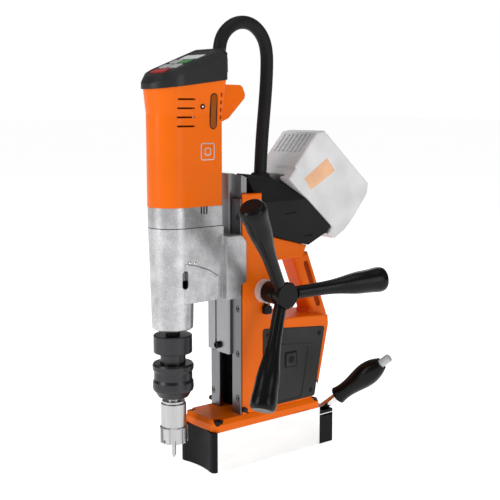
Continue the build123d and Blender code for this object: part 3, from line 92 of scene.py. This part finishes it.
class Finish:
    # one procedural material, with short words for the nodes it uses
    def __init__(self, name, **constants):
        self.material = bpy.data.materials.new(name)
        self.material.use_nodes = True
        self.tree = self.material.node_tree
        self.shader = self.tree.nodes["Principled BSDF"]
        for socket, value in constants.items():
            self.shader.inputs[socket.replace("_", " ")].default_value = value
        self.place = self.node("ShaderNodeTexCoord", {}, {}).outputs["Object"]

    def node(self, kind, settings, inputs):
        made = self.tree.nodes.new(kind)
        for key, value in settings.items():
            if key == "stops":
                ramp = made.color_ramp
                while len(ramp.elements) < len(value):
                    ramp.elements.new(0.5)
                for element, (position, shade) in zip(ramp.elements, value):
                    element.position = position
                    element.color = (*shade, 1)
            else:
                setattr(made, key, value)
        for key, value in inputs.items():
            if isinstance(value, Wire):
                value = value.socket
            if isinstance(value, bpy.types.NodeSocket):
                self.tree.links.new(value, made.inputs[key])
            else:
                made.inputs[key].default_value = value
        return made

    def mathNode(self, operation, first, second):
        made = self.node("ShaderNodeMath", {"operation": operation}, {0: first, 1: second})
        return Wire(self, made.outputs[0])

    def noise(self, scale, detail=3.0, stretch=(1, 1, 1), rough=0.5):
        moved = self.node("ShaderNodeMapping", {}, {"Vector": self.place, "Scale": stretch})
        inputs = {"Vector": moved.outputs[0], "Scale": scale, "Detail": detail, "Roughness": rough}
        made = self.node("ShaderNodeTexNoise", {}, inputs)
        return Wire(self, made.outputs[0])

    def axis(self, letter):
        made = self.node("ShaderNodeSeparateXYZ", {}, {0: self.place})
        return Wire(self, made.outputs["XYZ".index(letter)])

    def ramp(self, wire, stops):
        return self.node("ShaderNodeValToRGB", {"stops": stops}, {0: wire}).outputs[0]

    def blend(self, wire, first, second):
        made = self.node("ShaderNodeMix", {"data_type": "RGBA"}, {0: wire, 6: first, 7: second})
        return made.outputs[2]

    def colour(self, socket):
        self.tree.links.new(socket, self.shader.inputs["Base Color"])

    def rough(self, wire):
        self.tree.links.new(wire.socket, self.shader.inputs["Roughness"])

    def bump(self, wire, distance, strength=1.0, edge=0.0):
        # surface relief in metres, over an edge softened by the given radius
        inputs = {"Height": wire, "Distance": distance, "Strength": strength}
        if edge:
            soft = self.node("ShaderNodeBevel", {"samples": 4}, {"Radius": edge})
            inputs["Normal"] = soft.outputs[0]
        made = self.node("ShaderNodeBump", {}, inputs)
        self.tree.links.new(made.outputs[0], self.shader.inputs["Normal"])


def tint(colour, share):
    return tuple(min(1.0, value * share) for value in colour[:3]) + (1,)


# painted shade of the slide's channel: its half width, back and bottom limits, and the near-black shade
# colour
channelShade = {"halfWidth": 0.0268, "back": -0.0176, "bottom": 0.0752, "shade": (0.012, 0.012, 0.013, 1)}


def paint(name, colour, roughness=0.35, peel=0.00005, edge=0.0008, coat=0.02, channel=0.0):
    # sprayed or moulded colour with a slight orange peel and faint handling marks; with a channel width
    # given, painted shade darkens the slide's channel
    made = Finish(name, Coat_Weight=coat, Coat_Roughness=0.22, Specular_IOR_Level=0.12)
    cloud = made.noise(9, 4)
    marks = made.noise(70, 6, rough=0.7)
    skin = made.ramp(cloud, [(0.3, tint(colour, 0.94)[:3]), (0.7, tint(colour, 1.05)[:3])])
    if channel:
        # painted shade: the stand's orange in the slide's channel between the rails is painted nearly
        # black, standing for the shade in that recess
        across = made.axis("X")
        between = (across > -channel) * (across < channel)
        behind = made.axis("Y") < channelShade["back"]
        inside = between * behind * (made.axis("Z") > channelShade["bottom"])
        skin = made.blend(inside, skin, channelShade["shade"])
    made.colour(skin)
    made.rough(marks * 0.12 + (roughness - 0.06))
    made.bump(made.noise(900, 2), peel, 0.6, edge)
    return made.material


def plastic(name, colour, roughness=0.5, grain=0.00006, scale=1400, edge=0.0006, gloss=0.1):
    # injection-moulded plastic with a spark-eroded grain
    made = Finish(name, Specular_IOR_Level=gloss)
    cloud = made.noise(22, 3)
    rub = made.noise(55, 5, rough=0.65)
    made.colour(made.ramp(cloud, [(0.3, tint(colour, 0.88)[:3]), (0.7, tint(colour, 1.12)[:3])]))
    made.rough(rub * 0.16 + (roughness - 0.08))
    made.bump(made.noise(scale, 2), grain, 0.7, edge)
    return made.material


def brushed(name, colour, roughness=0.28, along="Y", depth=0.00001, edge=0.0004):
    # ground or brushed metal, with its streaks along one axis
    made = Finish(name, Metallic=1.0)
    stretch = tuple(0.02 if letter == along else 1.0 for letter in "XYZ")
    streak = made.noise(900, 3, stretch, 0.6)
    cloud = made.noise(14, 3)
    made.colour(made.ramp(streak, [(0.3, tint(colour, 0.9)[:3]), (0.7, tint(colour, 1.08)[:3])]))
    made.rough(streak * 0.14 + cloud * 0.08 + (roughness - 0.11))
    made.bump(streak, depth, 0.5, edge)
    return made.material


shutLine = {"low": 0.3485, "high": 0.3496, "shade": (0.03, 0.03, 0.03, 1)}


def castMetal(name, colour, roughness=0.5):
    # die-cast alloy, blasted: mottled, with a fine pitted skin
    made = Finish(name, Metallic=0.95)
    patch = made.noise(38, 5, rough=0.62)
    speck = made.noise(420, 3, rough=0.7)
    both = patch * 0.6 + speck * 0.4
    stops = [
        (0.36, tint(colour, 0.72)[:3]),
        (0.5, colour),
        (0.64, tint(colour, 1.3)[:3]),
    ]
    skin = made.ramp(both, stops)
    # dark shut line between case and lid
    level = made.axis("Z")
    joint = (level > shutLine["low"]) * (level < shutLine["high"])
    made.colour(made.blend(joint, skin, shutLine["shade"]))
    made.rough(speck * 0.2 + (roughness - 0.1))
    made.bump(both, 0.00025, 0.6, 0.0012)
    return made.material


dial = {
    "centreY": -0.012, "centreZ": 0.251, "divisions": 40, "darkShare": 0.2, "rimStart": 0.0425,
    "ground": (0.78, 0.78, 0.78, 1), "marks": (0.03, 0.03, 0.03, 1),
}


def dialScale(name):
    # satin ring with dark divisions round its rim
    made = Finish(name, Metallic=0.35)
    across = made.axis("Y") - dial["centreY"]
    above = made.axis("Z") - dial["centreZ"]
    turn = made.mathNode("ARCTAN2", across, above)
    division = made.mathNode("FRACT", turn * (dial["divisions"] / math.tau), 0.0)
    stripe = (division < dial["darkShare"]) * (made.axis("X") > dial["rimStart"])
    cloud = made.noise(60, 3)
    made.colour(made.blend(stripe, dial["ground"], dial["marks"]))
    made.rough(cloud * 0.1 + 0.3)
    made.bump(stripe, 0.0001, 0.6, 0.0004)
    return made.material


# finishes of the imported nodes
orange = (0.86, 0.145, 0.002)
finishes = {
    "standOrange": paint("standOrange", orange, 0.36, channel=channelShade["halfWidth"]),
    # painted shade: dark red standing for the shade in the grip's grooves
    "gripInlay": plastic("gripInlay", (0.33, 0.035, 0.0), 0.5, 0.00003),
    "paintedOrange": paint("paintedOrange", orange, 0.36),
    "mouldedOrange": paint("mouldedOrange", orange, 0.3, 0.00003, 0.001, 0.04),
    "groundSteel": brushed("groundSteel", (0.78, 0.78, 0.77), 0.2, "Y"),
    "railSteel": brushed("railSteel", (0.2, 0.2, 0.21), 0.34, "Z"),
    "carriageSteel": brushed("carriageSteel", (0.3, 0.3, 0.31), 0.3, "Z"),
    "gearSteel": brushed("gearSteel", (0.5, 0.5, 0.51), 0.3, "X"),
    "castAlloy": castMetal("castAlloy", (0.47, 0.47, 0.48), 0.33),
    "darkAlloy": brushed("darkAlloy", (0.05, 0.05, 0.053), 0.36, "X", 0.00001, 0.0006),
    "cutterSteel": brushed("cutterSteel", (0.48, 0.48, 0.48), 0.34, "Z", 0.00002),
    "blackOxide": plastic("blackOxide", (0.018, 0.018, 0.02), 0.36, 0.00002, 900, 0.0003),
    "blackPlastic": plastic("blackPlastic", (0.01, 0.01, 0.011), 0.4, 0.00003),
    "dockPlastic": plastic("dockPlastic", (0.016, 0.016, 0.017), 0.46, 0.00006),
    "capPlastic": plastic("capPlastic", (0.014, 0.014, 0.015), 0.4, 0.00005, 1400, 0.0014, 0.3),
    "footPlastic": plastic("footPlastic", (0.007, 0.007, 0.007), 0.5, 0.00004),
    "coverPlastic": plastic("coverPlastic", (0.036, 0.037, 0.036), 0.5, 0.0001, 1100),
    "gripPlastic": plastic("gripPlastic", (0.004, 0.004, 0.004), 0.26, 0.00002, gloss=0.16),
    "hoseRubber": plastic("hoseRubber", (0.015, 0.015, 0.016), 0.48, 0.00004, 700),
    "dialScale": dialScale("dialScale"),
    "chromeRod": brushed("chromeRod", (0.72, 0.72, 0.72), 0.14, "Z", 0.000005),
    "brassStrip": brushed("brassStrip", (0.62, 0.46, 0.2), 0.3, "Y"),
    "bronzeBush": castMetal("bronzeBush", (0.45, 0.27, 0.11), 0.4),
    "boardGreen": plastic("boardGreen", (0.01, 0.12, 0.04), 0.3, 0.00002),
    "copperCoil": brushed("copperCoil", (0.55, 0.25, 0.12), 0.3, "Z"),
    "cellWrap": plastic("cellWrap", (0.03, 0.14, 0.35), 0.3, 0.00002),
    "ghostPlastic": plastic("ghostPlastic", (0.72, 0.72, 0.73), 0.55, 0.00005, 1200, 0.001),
    "redKey": plastic("redKey", (0.42, 0.04, 0.045), 0.35, 0.00002),
    "greenKey": plastic("greenKey", (0.1, 0.3, 0.12), 0.35, 0.00002),
    "paleKey": plastic("paleKey", (0.5, 0.5, 0.5), 0.35, 0.00002),
    "panelFilm": plastic("panelFilm", (0.02, 0.02, 0.021), 0.35, 0.00001),
    "displayFilm": plastic("displayFilm", (0.86, 0.88, 0.88), 0.16, 0.00001),
    "umberPlastic": plastic("umberPlastic", (0.3, 0.07, 0.004), 0.4, 0.00002),
    "peachLabel": plastic("peachLabel", (0.86, 0.5, 0.3), 0.5, 0.00002, 900, 0.0004),
    "clearButton": plastic("clearButton", (0.55, 0.56, 0.57), 0.16, 0.00002),
}

nodeFinish = {
    "magnet_body": "groundSteel", "pole_divider": "brassStrip", "foot_front_cover": "footPlastic",
    "foot_rear_shell": "footPlastic", "foot_rear_trim": "groundSteel", "foot_rear_lid": "footPlastic",
    "base_plate": "paintedOrange", "base_screws": "blackOxide", "stand_frame": "standOrange",
    "guide_rail_right": "railSteel", "guide_rail_left": "railSteel", "rail_screws": "railSteel",
    "gib_screws": "blackOxide", "side_cover_right": "coverPlastic", "side_cover_left": "coverPlastic",
    "cover_screws": "blackOxide", "control_board": "boardGreen", "shaft_bushes": "bronzeBush",
    "depth_pointer": "blackPlastic", "dock_shell_right": "dockPlastic",
    "dock_shell_left": "dockPlastic", "hose": "hoseRubber", "hose_flange": "blackPlastic",
    "magnet_rotor": "gearSteel", "lever_rod": "chromeRod", "lever_grip": "gripPlastic",
    "lever_button": "clearButton", "carriage": "carriageSteel", "feed_rack": "gearSteel",
    "gearbox_case": "castAlloy", "gearbox_lid": "castAlloy", "drill_screws": "blackOxide",
    "drive_bearings": "gearSteel", "motor_stator": "copperCoil", "motor_housing": "mouldedOrange",
    "motor_cap": "capPlastic", "panel_plate": "panelFilm", "display_window": "displayFilm",
    "panel_board": "boardGreen", "hose_boot": "blackPlastic", "pinion_shaft": "gearSteel",
    "crank_hub": "gripPlastic", "crank_arms": "gripPlastic", "dial_ring": "dialScale",
    "drive_spindle": "blackOxide", "spindle_wheel": "gearSteel", "tool_holder": "darkAlloy",
    "core_cutter": "cutterSteel", "chuck_sleeve": "darkAlloy", "pilot_pin": "cutterSteel",
    "countershaft": "gearSteel", "motor_rotor": "gearSteel", "motor_fan": "blackPlastic",
    "battery_case": "ghostPlastic", "battery_cells": "cellWrap", "stop_button": "redKey",
    "speed_up_button": "paleKey", "speed_down_button": "paleKey", "gear_button": "paleKey",
    "start_button": "greenKey",
}
for nodeName, finishName in nodeFinish.items():
    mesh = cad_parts[nodeName].data
    mesh.materials.clear()
    mesh.materials.append(finishes[finishName])
print("finishes assigned:", len(nodeFinish))

# modelling helpers
def clearSelection():
    bpy.ops.object.select_all(action="DESELECT")


def finishPiece(piece, body, finish):
    # the piece's place goes into its mesh, then it takes its body and material
    clearSelection()
    piece.select_set(True)
    bpy.context.view_layer.objects.active = piece
    bpy.ops.object.transform_apply(location=True, rotation=True, scale=True)
    bpy.ops.object.shade_smooth_by_angle(angle=math.radians(35))
    piece.data.materials.clear()
    piece.data.materials.append(finishes[finish])
    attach(piece, body)
    return piece


def slab(name, outline, low, high, bevel):
    # side view drawn in millimetres, extruded between two places along X, with its edges bevelled
    clearSelection()
    bpy.ops.mesh.primitive_circle_add(vertices=len(outline), fill_type="NGON")
    piece = bpy.context.object
    piece.name = name
    for vertex, (a, b) in zip(piece.data.vertices, outline):
        vertex.co = Vector((low, a, b)) / 1000
    run = ((high - low) / 1000, 0, 0)
    bpy.ops.object.mode_set(mode="EDIT")
    bpy.ops.mesh.select_all(action="SELECT")
    bpy.ops.mesh.extrude_region_move(TRANSFORM_OT_translate={"value": run})
    bpy.ops.mesh.select_all(action="SELECT")
    bpy.ops.mesh.normals_make_consistent(inside=False)
    bpy.ops.object.mode_set(mode="OBJECT")
    rounding = piece.modifiers.new("rounding", "BEVEL")
    rounding.width = bevel
    rounding.segments = 2
    rounding.limit_method = "ANGLE"
    bpy.ops.object.modifier_apply(modifier="rounding")
    return piece


def pillOutline(middle, width, height, steps=10):
    # points of an upright slot shape
    radius = width / 2
    reach = height / 2 - radius
    points = []
    for end, first in ((1, 0), (-1, math.pi)):
        for step in range(steps + 1):
            angle = first + math.pi * step / steps
            across = middle[0] + radius * math.cos(angle)
            points.append((across, middle[1] + end * reach + radius * math.sin(angle)))
    return points


def discOutline(middle, radius, steps=10):
    return pillOutline(middle, 2 * radius, 2 * radius, steps)


def roundedOutline(low, high, radius, steps=5):
    # points of a rectangle with round corners
    corners = [(high[0] - radius, high[1] - radius), (low[0] + radius, high[1] - radius),
               (low[0] + radius, low[1] + radius), (high[0] - radius, low[1] + radius)]
    points = []
    for index, (a, b) in enumerate(corners):
        for step in range(steps + 1):
            angle = math.pi / 2 * (index + step / steps)
            points.append((a + radius * math.cos(angle), b + radius * math.sin(angle)))
    return points


def badge(plan, word, side, face, body):
    # flat layers on a side face: each has its inset, corner radius, how proud it stands and its finish
    low, high = plan["low"], plan["high"]
    for name, inset, corner, proud, finish in plan["layers"]:
        start, end = [value + inset for value in low], [value - inset for value in high]
        outline = roundedOutline(start, end, corner)
        piece = slab(name + word, outline, face - side * plan["sunk"], face + side * proud, plan["bevel"])
        finishPiece(piece, body, finish)


# cable hose
hose = {
    "points": [(0, -61.6, 565), (0, -62, 588), (0, -55, 610), (0, -33, 626), (0, -6, 627), (0, 15, 612),
               (0, 24.5, 589), (0, 24, 552), (0, 20, 508), (0, 14.5, 458), (0, 12, 411)],
    "radius": 9.25,
}


def routeCurve(name, depth):
    data = bpy.data.curves.new(name, "CURVE")
    data.dimensions = "3D"
    data.resolution_u = 14
    data.bevel_depth = depth
    data.bevel_resolution = 10
    data.use_fill_caps = True
    spline = data.splines.new("NURBS")
    spline.points.add(len(hose["points"]) - 1)
    for point, place in zip(spline.points, hose["points"]):
        point.co = (*mm(*place), 1)
    spline.order_u = 3
    spline.use_endpoint_u = True
    made = bpy.data.objects.new(name, data)
    bpy.context.scene.collection.objects.link(made)
    return made


hoseTube = routeCurve("cableHose", mm(hose["radius"]))
clearSelection()
hoseTube.select_set(True)
bpy.context.view_layer.objects.active = hoseTube
bpy.ops.object.convert(target="MESH")
hoseTube = bpy.context.object
hoseTube.data.materials.clear()
hoseTube.data.materials.append(finishes["hoseRubber"])
bpy.ops.object.shade_smooth_by_angle(angle=math.radians(50))
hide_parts("hose")
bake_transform(hoseTube)
print("hose ready")

# motor side: blank pill-shaped badge, plain square badge and screw
motorSide = {
    "pill": ((-96.5, 504.2), 12.0, 48.0), "pillSunk": 1.0,
    "pillLayers": [("pillRim", 0.0, 0.4, "blackPlastic"), ("pillFace", 1.2, 0.5, "umberPlastic")],
    "screw": ((-114.7, 510.4), 2.7), "screwProud": 0.75,
    "wall": 32.6, "flareStart": 500.0, "flareRate": 5.9 / 60,
}
motorBadge = {
    "low": (-117.5, 439.0), "high": (-94.5, 462.0), "sunk": 0.6, "bevel": 0.0001,
    "layers": [
        ("badgeRim", 0.0, 3.0, 0.3, "paleKey"),
        ("badgeFace", 1.4, 1.6, 0.4, "mouldedOrange"),
        ("badgeDisc", 6.0, 4.0, 0.5, "paleKey"),
        ("badgeCentre", 7.3, 4.0, 0.6, "mouldedOrange"),
    ],
}


def ontoMotorWall(piece):
    # leans what lies above the flare's start outwards with the wall
    for vertex in piece.data.vertices:
        above = max(0.0, vertex.co.z * 1000 - motorSide["flareStart"])
        vertex.co.x += math.copysign(above * motorSide["flareRate"] / 1000, vertex.co.x)
    return piece


for side, word in ((1, "Right"), (-1, "Left")):
    wall = side * motorSide["wall"]
    for name, inset, proud, finish in motorSide["pillLayers"]:
        middle, width, height = motorSide["pill"]
        outline = pillOutline(middle, width - 2 * inset, height - 2 * inset)
        inner, outer = wall - side * motorSide["pillSunk"], wall + side * proud
        piece = slab(name + word, outline, inner, outer, 0.00025)
        finishPiece(ontoMotorWall(piece), "drill_unit", finish)
    badge(motorBadge, word, side, wall, "drill_unit")
    outline = discOutline(*motorSide["screw"])
    piece = slab("sideScrewFace" + word, outline, wall, wall + side * motorSide["screwProud"], 0.0003)
    finishPiece(ontoMotorWall(piece), "drill_unit", "chromeRod")
print("motor side ready")

# battery label
batteryFace = {
    "label": [(62.7, 407.2), (106.9, 435.3), (123.5, 416.2), (75.7, 389.8)], "sunk": 0.8, "proud": 0.25,
}
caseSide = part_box("battery_case")[1][0] * 1000
for side, word in ((1, "Right"), (-1, "Left")):
    inner = side * (caseSide - batteryFace["sunk"])
    outer = side * (caseSide + batteryFace["proud"])
    piece = slab("batteryLabel" + word, batteryFace["label"], inner, outer, 0.0002)
    finishPiece(piece, "battery", "peachLabel")
print("battery label ready")

# grooves of the grip, with dark red slabs laid in them as painted shade
grip = {
    "middle": (99.0, 246.0), "lean": 111.5, "length": 76.0, "width": 7.4, "inner": 15.2, "outer": 16.4,
}


def turned(points, middle, degrees):
    cosine, sine = math.cos(math.radians(degrees)), math.sin(math.radians(degrees))
    return [(middle[0] + a * cosine - b * sine, middle[1] + a * sine + b * cosine) for a, b in points]


for side, word in ((1, "Right"), (-1, "Left")):
    outline = turned(pillOutline((0, 0), grip["width"], grip["length"]), grip["middle"], grip["lean"] - 90)
    piece = slab("gripInlay" + word, outline, side * grip["inner"], side * grip["outer"], 0.0003)
    finishPiece(piece, "stand", "gripInlay")
print("grip ready")

# gearbox ledge and its screws
gearbox = {
    "ledge": [(-143.0, 301.0), (-130.0, 299.0), (-118.0, 295.5), (-104.0, 290.0), (-90.0, 281.5),
              (-88.0, 278.5), (-92.0, 278.5), (-105.0, 286.0), (-118.0, 291.5), (-130.0, 294.8),
              (-143.0, 296.5)],
    "ledgeSunk": 1.5, "ledgeProud": 1.2, "wall": 31.2,
    "screws": [(-136.0, 302.5), (-128.0, 301.0)], "screwRadius": 2.1, "screwSunk": 1.0, "screwProud": 0.9,
}
for side, word in ((1, "Right"), (-1, "Left")):
    wall = side * gearbox["wall"]
    inner, outer = wall - side * gearbox["ledgeSunk"], wall + side * gearbox["ledgeProud"]
    piece = slab("gearboxLedge" + word, gearbox["ledge"], inner, outer, 0.0008)
    finishPiece(piece, "drill_unit", "castAlloy")
    for index, spot in enumerate(gearbox["screws"]):
        outline = discOutline(spot, gearbox["screwRadius"], 6)
        inner, outer = wall - side * gearbox["screwSunk"], wall + side * gearbox["screwProud"]
        piece = slab(f"ledgeScrew{word}{index}", outline, inner, outer, 0.0004)
        finishPiece(piece, "drill_unit", "chromeRod")
print("gearbox ledge ready")

# side cover step and plain badge
coverStep = {
    "outline": [(14.0, 168.0), (86.0, 160.0), (86.6, 157.4), (14.0, 165.4)], "sunk": 0.8, "proud": 0.5,
}
coverBadge = {
    "low": (29.5, 130.0), "high": (52.5, 153.0), "sunk": 0.8, "bevel": 0.00012,
    "layers": [
        ("coverBadge", 0.0, 2.5, 0.4, "blackPlastic"),
        ("coverBadgeFace", 2.0, 0.6, 0.6, "coverPlastic"),
        ("coverBadgeDisc", 6.0, 5.0, 0.8, "blackPlastic"),
    ],
}
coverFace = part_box("side_cover_right")[1][0] * 1000
for side, word in ((1, "Right"), (-1, "Left")):
    face = side * coverFace
    inner, outer = face - side * coverStep["sunk"], face + side * coverStep["proud"]
    piece = slab("coverStep" + word, coverStep["outline"], inner, outer, 0.0004)
    finishPiece(piece, "stand", "coverPlastic")
    badge(coverBadge, word, side, face, "stand")
print("side covers ready")

# stage, lights and camera
studio = {
    "floorSize": 60.0, "floorHeight": -0.0002,
    "floorGlow": 0.8, "floorDark": (0.9, 0.9, 0.9), "floorLight": (0.93, 0.93, 0.93),
    "cameraAt": (1.11459, -0.90799, 0.51261), "azimuth": 51.04, "pitch": -8.26, "lens": 72.0,
    "lightTarget": (0, 0, 0.28), "skyStrength": 0.2,
    "lights": [
        ("keyLeft", (-0.4, -2.4, 1.2), (0.7, 1.8), 23),
        ("fillRight", (2.7, 0.3, 1.0), (0.9, 1.6), 15),
        ("topSoft", (0.4, -0.2, 2.6), (1.8, 1.8), 15),
        ("rim", (-1.6, 1.7, 1.5), (1.0, 1.0), 9),
    ],
}
clearSelection()
bpy.ops.mesh.primitive_plane_add(size=studio["floorSize"], location=(0, 0, studio["floorHeight"]))
floor = bpy.context.object
floor.name = "floor"
floorFinish = Finish("paleFloor", Roughness=0.75, Emission_Color=(1, 1, 1, 1),
                     Emission_Strength=studio["floorGlow"])
floorStops = [(0.3, studio["floorDark"]), (0.7, studio["floorLight"])]
floorFinish.colour(floorFinish.ramp(floorFinish.noise(0.6, 2), floorStops))
floor.data.materials.append(floorFinish.material)


def areaLight(name, at, size, power):
    data = bpy.data.lights.new(name, "AREA")
    data.shape = "RECTANGLE"
    data.size, data.size_y = size
    data.energy = power
    lamp = bpy.data.objects.new(name, data)
    bpy.context.scene.collection.objects.link(lamp)
    lamp.location = at
    towards = Vector(studio["lightTarget"]) - Vector(at)
    lamp.rotation_euler = towards.to_track_quat("-Z", "Y").to_euler()


for light in studio["lights"]:
    areaLight(*light)

world = bpy.data.worlds.new("studio")
bpy.context.scene.world = world
world.use_nodes = True
# the backdrop is white to the camera and dimmer as a light
sky = world.node_tree.nodes["Background"]
sky.inputs["Color"].default_value = (1, 1, 1, 1)
sky.inputs["Strength"].default_value = studio["skyStrength"]
backdrop = world.node_tree.nodes.new("ShaderNodeBackground")
backdrop.inputs["Color"].default_value = (1, 1, 1, 1)
seen = world.node_tree.nodes.new("ShaderNodeLightPath")
chosen = world.node_tree.nodes.new("ShaderNodeMixShader")
links = world.node_tree.links
links.new(seen.outputs["Is Camera Ray"], chosen.inputs[0])
links.new(sky.outputs[0], chosen.inputs[1])
links.new(backdrop.outputs[0], chosen.inputs[2])
links.new(chosen.outputs[0], world.node_tree.nodes["World Output"].inputs[0])

cameraData = bpy.data.cameras.new("camera")
cameraData.lens = studio["lens"]
cameraData.sensor_width = 36
cameraData.clip_end = 100
camera = bpy.data.objects.new("camera", cameraData)
bpy.context.scene.collection.objects.link(camera)
camera.location = studio["cameraAt"]
camera.rotation_euler = (math.radians(90 + studio["pitch"]), 0, math.radians(studio["azimuth"]))
bpy.context.scene.camera = camera
bpy.context.scene.view_settings.view_transform = "Standard"
print("stage ready")
